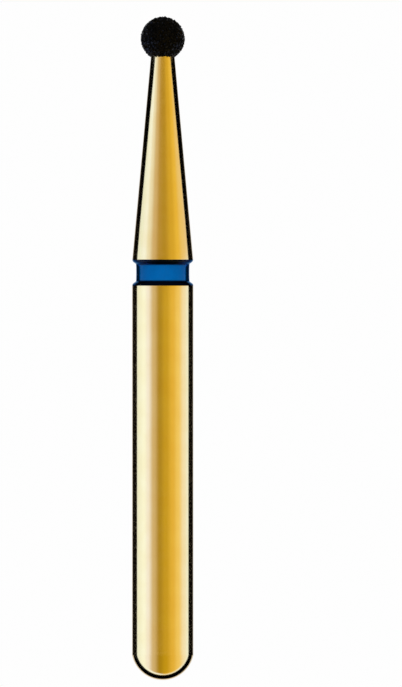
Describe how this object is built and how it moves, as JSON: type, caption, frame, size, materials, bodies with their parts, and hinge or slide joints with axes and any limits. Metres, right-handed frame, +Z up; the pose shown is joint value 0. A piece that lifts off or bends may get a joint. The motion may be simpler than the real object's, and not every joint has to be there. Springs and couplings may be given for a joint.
{
  "type": "dental bur",
  "caption": "Round dental bur: straight friction-grip shank with a domed butt, a lacquered band in a groove, a slim tapered neck and a grit-coated ball head.",
  "frame": {"origin": "lowest point of the shank's domed butt, on the bur's axis", "axes": "+Z up the bur's axis from the butt to the ball head; X and Y are square to it and alike"},
  "size_m": [0.0016, 0.0016, 0.0174],
  "materials": {
    "gold_plated_steel": "turned and ground steel under a thin gold plating, satin to bright",
    "blue_lacquer": "flat blue lacquer, glossy, pooled along both rims",
    "nickel_bond": "black electroplated nickel, fine matt nodules",
    "diamond_grit": "dark crystal grit, medium grain"
  },
  "bodies": {
    "root": {"turned_blank": "gold_plated_steel", "colour_ring": "blue_lacquer", "nickel_bond": "nickel_bond", "diamond_grains": "diamond_grit"}
  },
  "joints": []
}
